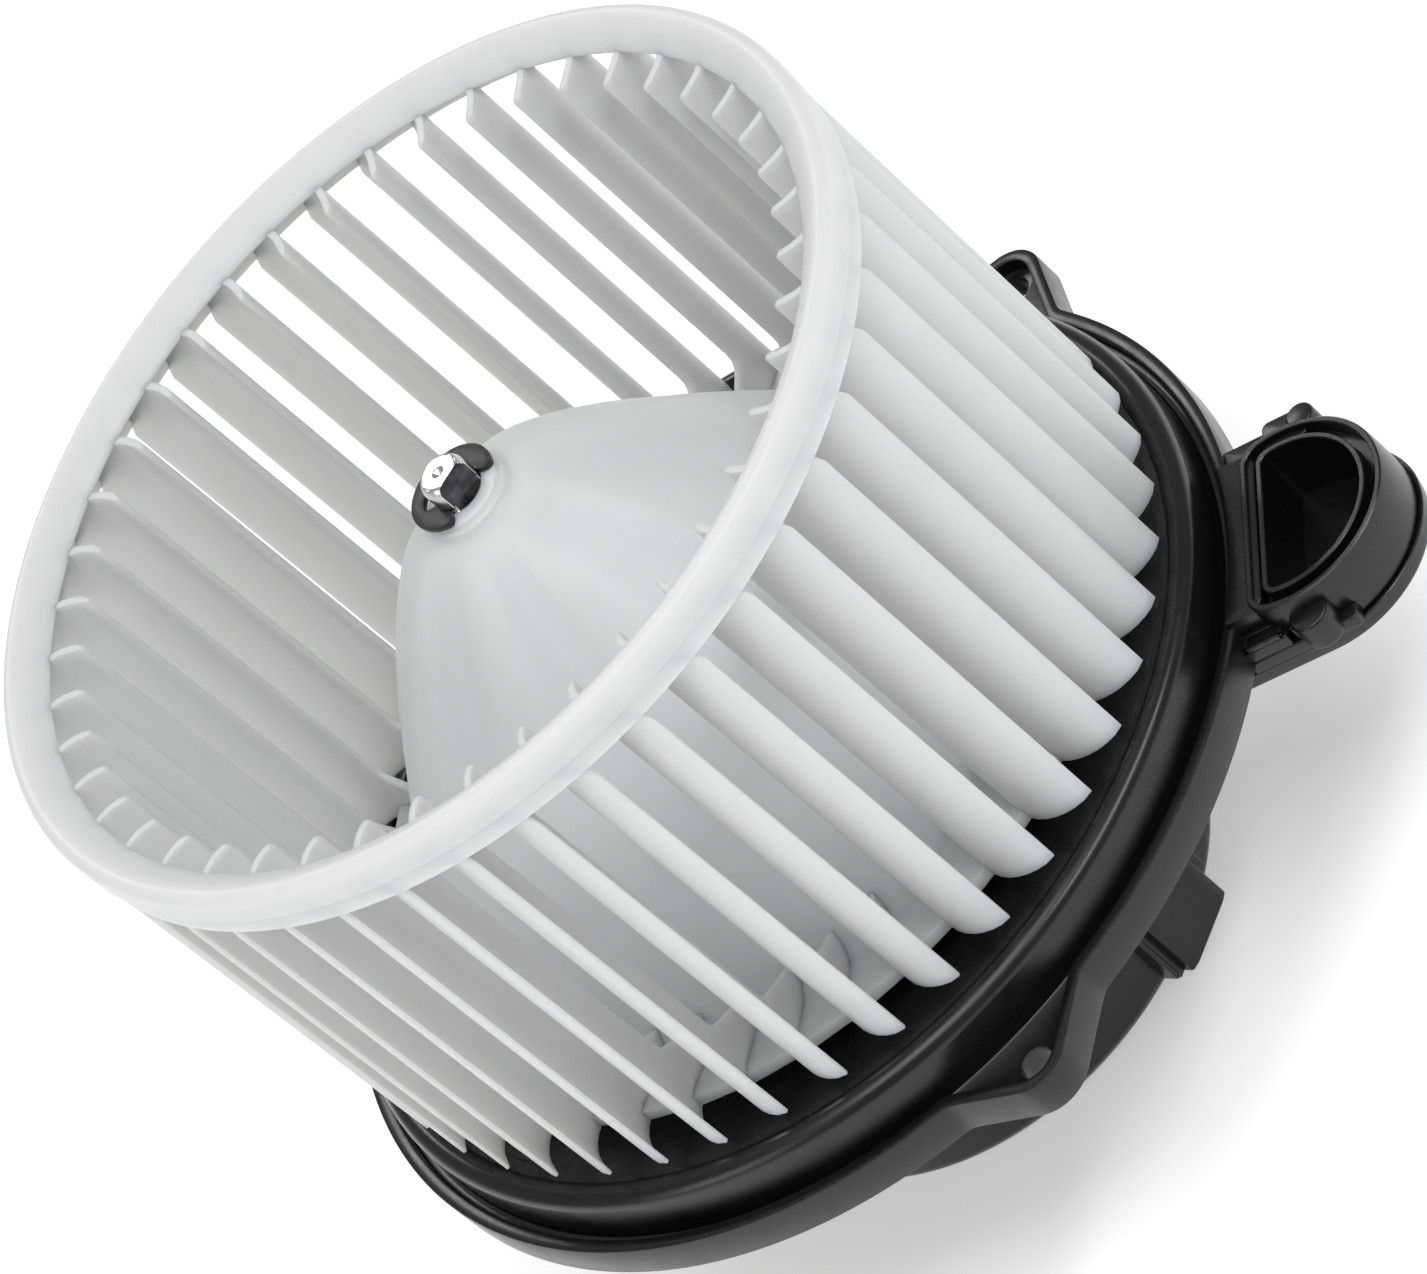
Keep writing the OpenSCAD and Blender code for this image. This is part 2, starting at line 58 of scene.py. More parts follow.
RING_LOW, RING_HIGH = reach("wheel_ring")
HUB_LOW, HUB_HIGH = reach("wheel_hub")
SHAFT_LOW, SHAFT_HIGH = reach("shaft")
CLIP_LOW, CLIP_HIGH = reach("spring_clip")
FLANGE_LOW, FLANGE_HIGH = reach("flange_plate")
COVER_LOW = reach("motor_cover")[0]

# Fan wheel
RING_R = RING_HIGH[0]
RING_SKIN = 1.7
RING_ROUND = 1.7
LIP_R = 71.3
LIP_Z = 88.6
TIP_R = RING_R - 0.7
BLADES = 44
BLADE_TURN = 5.85
BLADE_CURVE = 9.2
BLADE_T = 1.3
BLADE_IN_R = 65.7
BLADE_TIP_ANGLE = 340
BLADE_ROOT_ANGLE = 247
HUB_R = HUB_HIGH[0]
HUB_Z = HUB_LOW[2]
RIM_H = 2.4
NOSE_R = 8.0
NOSE_Z = HUB_HIGH[2] - 2.5
FOOT_R = 60.0
DOME_POWER = 1.4
DOME_WALL = 2.2
NECK_Z = 58.0

# Flange
EAR_ANGLES = (60, 180, 300)
EAR_TIP = -FLANGE_LOW[0]
EAR_R = 6.6
SCREW_R = EAR_TIP - EAR_R
FLANGE_R = SCREW_R - 3.5
RIM_W = 2.2
SCREW_HOLE_R = 2.75
SKIRT_Z = FLANGE_LOW[2]
CHANNEL_Z = -2.5
PLATE_Z = 5.5
BEAD_R = 78.6
BEAD_ROUND = 2.4
BEAD_Z = 7.5
PLATE_T = 2.5
TUBE_IR = 39.3
TUBE_OR = 41.5
TUBE_Z = FLANGE_HIGH[2]

# Cooling-air port
PORT_R = 13.4
PORT_WALL = 3.9
PORT_X = FLANGE_HIGH[0] - PORT_R - PORT_WALL
PORT_FLAT = PORT_X - 3.4
PORT_Z = 1.5
PORT_CORNER = 1.6
SEAM_Z = -8.4
DUCT_Z = -12.0

# Motor cover
COVER_R = 47.0
COVER_WALL = 2.2
LUG_ANGLES = (30, 150, 270)
LUG_SPOT = 53.0
LUG_R = 3.6
COVER_Z = COVER_LOW[2]
TOWER_ANGLE = -27
TOWER_HALF = 7.0
TOWER_R = 50.3
SOCKET_H = 26.0
SOCKET_WALL = 1.6

# Shaft end and clip
SHAFT_R = 4.0
FLAT = 2.55
FLAT_ANGLE = -41
FLAT_Z = 57.0
GROOVE_DEPTH = 0.2


# ---------------------------------------------------------------- mesh helpers
def loft(rings, closed=False, caps=True):
    """Quads between rings of points. A closed loft joins its last ring to its first."""
    rings = np.asarray(rings, float)
    count, size = rings.shape[:2]
    faces = []
    for i in range(count if closed else count - 1):
        a, b = i * size, (i + 1) % count * size
        faces += [(a + j, a + (j + 1) % size, b + (j + 1) % size, b + j) for j in range(size)]
    if caps and not closed:
        faces.append(tuple(range(size))[::-1])
        faces.append(tuple(range((count - 1) * size, count * size)))
    return rings.reshape(-1, 3), faces


def merge(shells):
    """One list of points and faces from several."""
    points, faces = [], []
    start = 0
    for verts, polys in shells:
        points.append(np.asarray(verts, float))
        faces += [tuple(start + i for i in face) for face in polys]
        start += len(verts)
    return np.concatenate(points), faces


def turned(shell, angle):
    """The shell turned about the shaft by an angle in degrees."""
    verts, faces = shell
    c, s = math.cos(math.radians(angle)), math.sin(math.radians(angle))
    return verts @ np.array([[c, s, 0], [-s, c, 0], [0, 0, 1]]), faces


def soften(points, radius, steps=4):
    """A closed outline with round corners. A third number in a point is that corner's radius."""
    out = []
    count = len(points)
    for i, point in enumerate(points):
        r = point[2] if len(point) > 2 else radius
        before, here, after = (np.array(points[(i + k) % count][:2], float) for k in (-1, 0, 1))
        to_a, to_b = before - here, after - here
        len_a, len_b = np.linalg.norm(to_a), np.linalg.norm(to_b)
        to_a, to_b = to_a / len_a, to_b / len_b
        half = math.acos(np.clip(to_a @ to_b, -1, 1)) / 2
        if r <= 0 or half > math.pi / 2 - 0.02:
            out.append(here)
            continue
        cut = min(r / math.tan(half), 0.45 * len_a, 0.45 * len_b)
        r = cut * math.tan(half)
        middle = here + (to_a + to_b) / np.linalg.norm(to_a + to_b) * r / math.sin(half)
        start, end = here + to_a * cut - middle, here + to_b * cut - middle
        for k in range(steps + 1):
            spoke = start * (1 - k / steps) + end * k / steps
            out.append(middle + spoke / np.linalg.norm(spoke) * r)
    return np.array(out)


def inset(outline, d):
    """A counter-clockwise outline moved inwards by d."""
    before = outline - np.roll(outline, 1, 0)
    after = np.roll(outline, -1, 0) - outline
    n1 = np.stack([before[:, 1], -before[:, 0]], 1) / np.linalg.norm(before, axis=1)[:, None]
    n2 = np.stack([after[:, 1], -after[:, 0]], 1) / np.linalg.norm(after, axis=1)[:, None]
    share = 1 + (n1 * n2).sum(1, keepdims=True)
    return outline - d * (n1 + n2) / np.maximum(share, 0.3)


def prism(outline, z0, z1, edge=0.3, edge_steps=3):
    """A counter-clockwise outline drawn up from z0 to z1, with rounded edges."""
    outline = np.asarray(outline, float)
    turns = [math.pi / 2 * k / edge_steps for k in range(edge_steps + 1)]
    levels = [(edge * (1 - math.sin(t)), z0 + edge * (1 - math.cos(t))) for t in turns]
    levels += [(edge * (1 - math.cos(t)), z1 - edge * (1 - math.sin(t))) for t in turns]
    rings = [np.c_[inset(outline, d), np.full(len(outline), z)] for d, z in levels]
    return loft(rings)


def block(x0, x1, y0, y1, z0, z1, edge=0.3, corner=0.6):
    """A box with rounded edges."""
    return prism(soften([(x0, y0), (x1, y0), (x1, y1), (x0, y1)], corner), z0, z1, edge)


def spin(profile, steps=192):
    """A closed (r, z) profile turned about the shaft."""
    profile = np.asarray(profile, float)
    rings = []
    for k in range(steps):
        a = 2 * math.pi * k / steps
        rings.append(np.c_[profile[:, 0] * math.cos(a), profile[:, 0] * math.sin(a), profile[:, 1]])
    return loft(rings, closed=True)


def tube(r0, r1, z0, z1, edge=0.25, steps=96):
    """A ring with rounded edges."""
    return spin(soften([(r0, z0), (r1, z0), (r1, z1), (r0, z1)], edge, 3), steps)


def circle(cx, cy, r, steps=32):
    """A counter-clockwise circle."""
    return np.array([(cx + r * math.cos(2 * math.pi * k / steps),
                      cy + r * math.sin(2 * math.pi * k / steps)) for k in range(steps)])


def ring_at(x, y, r0, r1, z0, z1, edge=0.25):
    """A ring with rounded edges round any upright axis."""
    verts, faces = tube(r0, r1, z0, z1, edge, 40)
    return verts + np.array([x, y, 0]), faces


def piece(name, shell, body, finish, stands_for=(), sharp=35):
    """Makes the object, rides it on its body and hides the CAD parts it stands in for."""
    verts, faces = shell
    mesh = bpy.data.meshes.new(name)
    mesh.from_pydata((np.asarray(verts) * MM).tolist(), [], faces)
    mesh.validate()
    made = bpy.data.objects.new(name, mesh)
    SCENE.collection.objects.link(made)
    bpy.context.view_layer.objects.active = made
    made.select_set(True)
    bpy.ops.object.mode_set(mode="EDIT")
    bpy.ops.mesh.select_all(action="SELECT")
    bpy.ops.mesh.normals_make_consistent(inside=False)
    bpy.ops.object.mode_set(mode="OBJECT")
    made.select_set(False)
    mesh.shade_smooth()
    mesh.set_sharp_from_angle(angle=math.radians(sharp))
    mesh.materials.append(finish)
    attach(made, body)
    if stands_for:
        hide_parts(*stands_for)
    return made


# ---------------------------------------------------------------- materials
def finish(name, colour, rough, metal=0.0, fine=2600, bump=0.06, mottle=0.05, rough_spread=0.08,
           stretch=(1, 1, 1), **sockets):
    """A moulded or machined surface: fine grain as bump, with slow changes of tone and gloss.
    fine is the grain's scale per metre, mottle the share by which the tone changes."""
    made = bpy.data.materials.new(name)
    made.use_nodes = True
    nodes, links = made.node_tree.nodes, made.node_tree.links
    shader = nodes["Principled BSDF"]
    shader.inputs["Metallic"].default_value = metal
    for key, value in sockets.items():
        shader.inputs[key.replace("_", " ")].default_value = value
    place = nodes.new("ShaderNodeTexCoord")
    scaled = nodes.new("ShaderNodeMapping")
    scaled.inputs["Scale"].default_value = stretch
    links.new(place.outputs["Object"], scaled.inputs["Vector"])

    def noise(scale, detail, roughness=0.55):
        texture = nodes.new("ShaderNodeTexNoise")
        texture.inputs["Scale"].default_value = scale
        texture.inputs["Detail"].default_value = detail
        texture.inputs["Roughness"].default_value = roughness
        links.new(scaled.outputs["Vector"], texture.inputs["Vector"])
        return texture.outputs["Fac"]

    tone = nodes.new("ShaderNodeValToRGB")
    dark = [c * (1 - mottle) for c in colour]
    light = [min(1.0, c * (1 + mottle)) for c in colour]
    tone.color_ramp.elements[0].position = 0.32
    tone.color_ramp.elements[0].color = (*dark, 1)
    tone.color_ramp.elements[1].position = 0.68
    tone.color_ramp.elements[1].color = (*light, 1)
    links.new(noise(38, 5), tone.inputs["Fac"])
    links.new(tone.outputs["Color"], shader.inputs["Base Color"])

    gloss = nodes.new("ShaderNodeMapRange")
    gloss.inputs["From Min"].default_value = 0.3
    gloss.inputs["From Max"].default_value = 0.7
    gloss.inputs["To Min"].default_value = rough - rough_spread
    gloss.inputs["To Max"].default_value = rough + rough_spread
    links.new(noise(95, 6, 0.65), gloss.inputs["Value"])
    links.new(gloss.outputs["Result"], shader.inputs["Roughness"])

    grain = nodes.new("ShaderNodeBump")
    grain.inputs["Strength"].default_value = bump
    grain.inputs["Distance"].default_value = 0.0004
    links.new(noise(fine, 3), grain.inputs["Height"])
    links.new(grain.outputs["Normal"], shader.inputs["Normal"])
    return made


def paint_reflection_on_flat(look):
    """Darkens the shaft's machined flat, and with it the round side below the flat, inside the hub: a
    painted dark reflection, a near-black streaky base colour standing in for reflected shade.
    """
    nodes, links = look.node_tree.nodes, look.node_tree.links
    shader = nodes["Principled BSDF"]
    ramp = shader.inputs["Base Color"].links[0].from_socket
    place = nodes.new("ShaderNodeTexCoord")
    out = nodes.new("ShaderNodeVectorMath")
    out.operation = "DOT_PRODUCT"
    angle = math.radians(FLAT_ANGLE)
    out.inputs[1].default_value = (math.cos(angle), math.sin(angle), 0)
    links.new(place.outputs["Object"], out.inputs[0])
    edge = nodes.new("ShaderNodeMapRange")
    edge.inputs["From Min"].default_value = (FLAT - 0.03) * MM
    edge.inputs["From Max"].default_value = (FLAT - 0.01) * MM
    links.new(out.outputs["Value"], edge.inputs["Value"])
    streaks = nodes.new("ShaderNodeTexNoise")
    streaks.inputs["Scale"].default_value = 260
    streaks.inputs["Detail"].default_value = 3
    links.new(place.outputs["Object"], streaks.inputs["Vector"])
    # painted dark reflection: the flat's base colour runs in streaks from near black to dark grey, far
    # darker than the steel
    flat_dark_reflection = nodes.new("ShaderNodeValToRGB")
    flat_dark_reflection.color_ramp.elements[0].position = 0.35
    flat_dark_reflection.color_ramp.elements[0].color = (0.018, 0.018, 0.02, 1)
    flat_dark_reflection.color_ramp.elements[1].position = 0.65
    flat_dark_reflection.color_ramp.elements[1].color = (0.13, 0.13, 0.135, 1)
    links.new(streaks.outputs["Fac"], flat_dark_reflection.inputs["Fac"])
    both = nodes.new("ShaderNodeMix")
    both.data_type = "RGBA"
    links.new(edge.outputs["Result"], both.inputs["Factor"])
    colour_a, colour_b, mixed = both.inputs[6], both.inputs[7], both.outputs[2]
    links.new(ramp, colour_a)
    links.new(flat_dark_reflection.outputs["Color"], colour_b)
    links.new(mixed, shader.inputs["Base Color"])


WHITE = finish("wheel_white", (0.70, 0.703, 0.706), 0.4, fine=1500, bump=0.05, mottle=0.012,
               rough_spread=0.06, Subsurface_Weight=0.75, Subsurface_Scale=0.007,
               Subsurface_Radius=(1.0, 0.95, 0.9), Specular_IOR_Level=0.42)
BLACK = finish("housing_black", (0.0055, 0.0055, 0.0062), 0.27, fine=5200, bump=0.05, mottle=0.18,
               rough_spread=0.07, Specular_IOR_Level=0.5)
CLIP_BLACK = finish("clip_black", (0.007, 0.007, 0.0075), 0.3, fine=4200, bump=0.2, mottle=0.2)
SHAFT_STEEL = finish("shaft_steel", (0.80, 0.80, 0.81), 0.2, metal=1, fine=5000, bump=0.05,
                     mottle=0.04, rough_spread=0.06)
# the shaft's flat gets a painted dark reflection in its base colour
paint_reflection_on_flat(SHAFT_STEEL)
ZINC = finish("zinc_plate", (0.66, 0.66, 0.65), 0.34, metal=1, fine=3000, bump=0.12, mottle=0.1)
CAN_STEEL = finish("can_steel", (0.56, 0.57, 0.58), 0.32, metal=1, fine=900, bump=0.12, mottle=0.08,
                   stretch=(1, 1, 6))
CORE_STEEL = finish("core_steel", (0.30, 0.30, 0.31), 0.5, metal=1, fine=1600, bump=0.5, mottle=0.15,
                    stretch=(0.05, 0.05, 1))
COPPER_WIRE = finish("enamelled_copper", (0.50, 0.20, 0.07), 0.3, metal=0.8, fine=1400, bump=0.7,
                     mottle=0.2, stretch=(1, 1, 0.12))
COPPER = finish("turned_copper", (0.72, 0.38, 0.24), 0.28, metal=1, fine=2600, bump=0.25, mottle=0.1,
                stretch=(0.1, 0.1, 1))
BRASS = finish("brass", (0.74, 0.56, 0.27), 0.3, metal=1, fine=3000, bump=0.12, mottle=0.08)
BRONZE = finish("sintered_bronze", (0.52, 0.35, 0.17), 0.55, metal=0.9, fine=5200, bump=0.5, mottle=0.2)
FERRITE = finish("ferrite", (0.10, 0.10, 0.105), 0.62, fine=3600, bump=0.5, mottle=0.2)
CARBON = finish("carbon", (0.05, 0.05, 0.052), 0.55, metal=0.1, fine=4200, bump=0.45, mottle=0.25)
RUBBER = finish("black_rubber", (0.022, 0.022, 0.022), 0.72, fine=2600, bump=0.35, mottle=0.2)
FELT = finish("oiled_felt", (0.62, 0.53, 0.34), 0.85, fine=3400, bump=0.9, mottle=0.2, Sheen_Weight=0.4)
NYLON = finish("white_nylon", (0.80, 0.79, 0.74), 0.42, fine=3000, bump=0.08, mottle=0.03)
CARD = finish("phenolic_card", (0.26, 0.13, 0.06), 0.5, fine=2200, bump=0.3, mottle=0.25,
              stretch=(1, 0.2, 1))
WIRE_SKIN = finish("wire_skin", (0.40, 0.04, 0.03), 0.45, fine=3000, bump=0.15, mottle=0.1)


# ---------------------------------------------------------------- fan wheel
def wheel_ring():
    """The band round the wheel's open end: a thin stepped skirt under a round lip that leans inwards."""
    z0, z1 = RING_LOW[2], RING_HIGH[2]
    skirt, inner = TIP_R + 0.4, RING_R - RING_SKIN
    profile = [(inner, z0 + 0.15), (inner + 0.15, z0), (skirt - 0.25, z0), (skirt, z0 + 0.25),
               (skirt, z0 + 3.1), (RING_R - 0.05, z0 + 3.4), (RING_R, z0 + 3.7)]
    for k in range(11):
        t = math.radians(105 * k / 10)
        profile.append((RING_R - RING_ROUND + RING_ROUND * math.cos(t),
                        z1 - RING_ROUND + RING_ROUND * math.sin(t)))
    profile += [(LIP_R + 3.9, z1 - 0.35), (LIP_R + 2.6, z1 - 1.15), (LIP_R + 1.4, z1 - 2.1),
                (LIP_R + 0.5, z1 - 2.95), (LIP_R + 0.1, LIP_Z + 0.75), (LIP_R, LIP_Z + 0.4),
                (LIP_R + 0.12, LIP_Z + 0.1), (LIP_R + 0.5, LIP_Z), (inner - 0.3, LIP_Z),
                (inner, LIP_Z - 0.3)]
    return spin(profile, 264)


def camber(s):
    """Point and outward normal of a blade's middle line, s millimetres in from its tip."""
    middle = BLADE_CURVE - BLADE_T / 2
    tip, root = math.radians(BLADE_TIP_ANGLE), math.radians(BLADE_ROOT_ANGLE)
    a = max(tip - s / middle, root)
    normal = np.array([math.cos(a), math.sin(a)])
    centre = np.array([TIP_R - 0.88 * BLADE_CURVE, 0.413 * BLADE_CURVE])
    beyond = max(0.0, s - middle * (tip - root))
    return centre + middle * normal + beyond * np.array([normal[1], -normal[0]]), normal


def inner_edge(z):
    """Radius of a blade's inner edge at height z: a root web on the hub, then straight, then a hook."""
    web = [(HUB_Z, 57), (16.4, 57.4), (17.2, 59.2), (18.4, 61.6), (19.5, 63.6), (20.4, 64.9),
           (21.4, 65.5), (22.8, BLADE_IN_R)]
    hook = [(-0.9, 0), (-0.5, 0.15), (-0.2, 0.5), (-0.05, 1.0), (0.2, 2.5), (0.4, 4.1), (0.6, 5.9),
            (0.7, 6.8)]
    edge = web + [(LIP_Z + up, BLADE_IN_R + out) for up, out in hook]
    return float(np.interp(z, [e[0] for e in edge], [e[1] for e in edge]))


def blade():
    """One blade, from its free lower end to the hook inside the ring."""
    foot = [HUB_Z, HUB_Z + 0.08, HUB_Z + 0.25, 12, 14]
    web = [16.4, 16.8, 17.2, 17.8, 18.4, 19, 19.5, 20, 20.4, 20.9, 21.4, 22, 22.8]
    hook = [-0.9, -0.7, -0.5, -0.35, -0.2, -0.1, -0.05, 0.2, 0.4, 0.6, 0.7]
    heights = foot + web + [26, 34, 44, 54, 64, 74, 82] + [LIP_Z + up for up in hook]
    end_cut = 2.2
    corner = 0.28
    samples = [s / 4 for s in range(100)]
    radii = [np.linalg.norm(camber(s)[0]) for s in samples]
    across = 15
    rings = []
    for i, z in enumerate(heights):
        s_in = float(np.interp(inner_edge(z), radii[::-1], samples[::-1]))
        thin = {0: 0.24, 1: 0.1}.get(i, 0.0)
        s_out = max(thin, min(end_cut, (z - RING_LOW[2]) * 3))
        front, back = [], []
        for k in range(across + 1):
            u = k / across
            point, normal = camber(s_out + (s_in - s_out) * (1 - u))
            half = BLADE_T / 2 * (1.0 - 0.12 * u) - thin
            if k in (0, across):
                half -= corner
            front.append(point + normal * half)
            back.append(point - normal * half)
        ring = front + back[::-1]
        rings.append(np.c_[np.array(ring), np.full(len(ring), z)])
    size = 2 * across + 2
    verts, faces = loft(rings, caps=False)
    last = (len(heights) - 1) * size
    for k in range(across):
        faces.append((k + 1, k, size - 1 - k, size - 2 - k))
        faces.append((last + k, last + k + 1, last + size - 2 - k, last + size - 1 - k))
    return verts, faces


def wheel_blades():
    """All the blades, evenly round the shaft."""
    one = blade()
    return merge([turned(one, BLADE_TURN + k * 360 / BLADES) for k in range(BLADES)])


def dome_height(r):
    """Height of the dome's outer face at radius r."""
    foot = HUB_Z + RIM_H
    share = np.clip((r - NOSE_R) / (FOOT_R - NOSE_R), 0, None)
    return foot + (NOSE_Z - foot) * (1 - share ** DOME_POWER)


def wheel_hub():
    """The domed hub: a collar on the shaft, soft flutes, and a flat-sided rim that carries the blades."""
    foot = HUB_Z + RIM_H
    top = HUB_HIGH[2]
    steps = BLADES * 8
    plain, dome, edge = 0, 1, 2
    collar = soften([(SHAFT_R - 0.1, top), (6.3, top, 0.5), (6.5, NOSE_Z + 1.5, 0.4),
                     (7.1, NOSE_Z + 1.3, 0.4), (7.4, NOSE_Z + 0.2, 0.8), (9, dome_height(9))], 0, 3)
    radii = np.r_[np.linspace(9.6, 20, 9), np.linspace(21.5, FOOT_R - 0.6, 32)]
    skin = [(r, float(dome_height(r))) for r in radii]
    rim = [(FOOT_R + 1.2, foot - 0.1), (HUB_R - 0.35, foot), (HUB_R - 0.08, foot - 0.1),
           (HUB_R, foot - 0.4), (HUB_R, HUB_Z + 0.4), (HUB_R - 0.08, HUB_Z + 0.1),
           (HUB_R - 0.35, HUB_Z), (FOOT_R - 1.6, HUB_Z)]
    under = [(r - 1.6, float(dome_height(r)) - DOME_WALL) for r in radii[::-2] if r > 12]
    neck = [(8.6, NOSE_Z - 6.4), (8.2, NECK_Z + 1.5), (7.6, NECK_Z + 0.2), (SHAFT_R - 0.1, NECK_Z)]
    profile = np.array([tuple(p) for p in collar] + skin + rim + under + neck)
    kinds = np.array([plain] * len(collar) + [dome] * len(skin) + [edge] * len(rim)
                     + [plain] * (len(under) + len(neck)))
    rings = []
    for k in range(steps):
        angle = 360 * k / steps
        a = math.radians(angle)
        side = (angle - BLADE_TURN + 3.5) % (360 / BLADES) - 180 / BLADES
        flat = math.cos(math.pi / BLADES) / math.cos(math.radians(side))
        r, z = profile[:, 0].copy(), profile[:, 1].copy()
        r[(kinds == edge) & (r > FOOT_R + 2)] *= flat
        swell = np.clip((r - 9) / 9, 0, 1) * np.clip((FOOT_R - r) / 16, 0, 1)
        ridge = abs(math.cos(math.radians(4 * (angle + 8)))) ** 3 - 0.42
        fine_ribs = 0.10 * math.cos(math.radians(24 * angle)) * np.clip((r - 14) / 20, 0, 1)
        z = z + np.where(kinds == dome, swell * (0.85 * ridge + fine_ribs), 0)
        rings.append(np.c_[r * math.cos(a), r * math.sin(a), z])
    return loft(rings, closed=True)


def shaft():
    """Ground shaft, flat on one side near its end, with a clip groove, a stepped chamfer and a dimple."""
    z0, z1 = SHAFT_LOW[2], SHAFT_HIGH[2]
    full, groove = SHAFT_R, SHAFT_R - GROOVE_DEPTH
    profile = [(0.02, z0), (full - 0.4, z0), (full, z0 + 0.4), (full, CLIP_LOW[2] - 0.1),
               (groove, CLIP_LOW[2]), (groove, CLIP_HIGH[2]), (full, CLIP_HIGH[2] + 0.1)]
    chamfer = [(0, 1.5), (0.08, 1.1), (0.3, 0.6), (0.52, 0.22), (0.62, 0.12), (0.72, 0.1), (0.84, 0.18),
               (0.96, 0.1), (1.08, 0)]
    profile += [(full - in_by, z1 - down) for in_by, down in chamfer]
    profile += [(1.15, z1), (0.9, z1 - 0.08), (0.6, z1 - 0.35), (0.3, z1 - 0.7), (0.02, z1 - 0.75)]
    steps = 144
    rings = []
    for k in range(steps):
        a = 2 * math.pi * k / steps
        side = math.cos(a - math.radians(FLAT_ANGLE))
        limit = FLAT / side if side > 0.3 else full
        ring = []
        for r, z in profile:
            cut = min(r, limit) if z > FLAT_Z else r
            ring.append((cut * math.cos(a), cut * math.sin(a), z))
        rings.append(ring)
    return loft(rings, closed=True)


def spring_clip():
    """E-shaped clip: a flat ring, open on one side, whose three inner noses sit in the shaft's groove."""
    outer, back, inner = 7.6, 1.4, 6.15
    nose = SHAFT_R - 0.15

    def arc(r, a0, a1, n, cx=0.0):
        angles = [math.radians(a0 + (a1 - a0) * k / n) for k in range(n + 1)]
        return [(cx + r * math.cos(a), r * math.sin(a)) for a in angles]

    half = [(-nose, 0)] + arc(nose, 178, 166, 3) + [(-5.6, 1.5), (-5.9, 2.1)]
    half += arc(inner, 158, 128, 8) + [(-3.3, 4.75), (-2.6, 4.3), (-2.0, 3.5)] + arc(nose, 115, 72, 9)
    half += [(1.9, 3.75), (2.7, 4.05), (3.3, 4.6), (3.6, 5.2), (3.55, 5.7), (3.2, 6.05)]
    rim = arc(outer, 54, 180, 40, -back)
    lower = [(x, -y) for x, y in half]
    outline = rim + [(x, -y) for x, y in rim[::-1]][1:]
    outline += lower[::-1][:-1] + half
    return turned(prism(np.array(outline), CLIP_LOW[2], CLIP_HIGH[2], 0.14, 2), FLAT_ANGLE)


# ---------------------------------------------------------------- flange
def ear_reach(angle, shrink):
    """Distance from the shaft to an ear's outline, angle degrees off the ear's middle."""
    a = math.radians(abs(angle))
    r = EAR_R - shrink
    if abs(angle) > 30:
        return 0.0
    corner = math.atan2(r * math.sin(math.pi / 4), SCREW_R + r * math.cos(math.pi / 4))
    if a < corner:
        return SCREW_R * math.cos(a) + math.sqrt(max(0.0, r * r - (SCREW_R * math.sin(a)) ** 2))
    return (SCREW_R + r * math.sqrt(2)) / (math.cos(a) + math.sin(a))


def rim_reach(angle, shrink):
    """Distance from the shaft to the flange's outline, ears included."""
    best = FLANGE_R - shrink
    soft = 0.35
    for ear in EAR_ANGLES:
        off = (angle - ear + 180) % 360 - 180
        other = ear_reach(off, shrink)
        high = max(best, other)
        best = high + soft * math.log1p(math.exp(-abs(best - other) / soft)) if other > best - 4 else high
    return best


def flange_angles():
    """Angles round the flange, closer together at the ears."""
    angles = list(np.arange(0, 360, 1.25))
    for ear in EAR_ANGLES:
        angles += list(np.arange(ear - 12, ear + 12, 0.2))
    return sorted(set(round(float(a) % 360, 3) for a in angles))


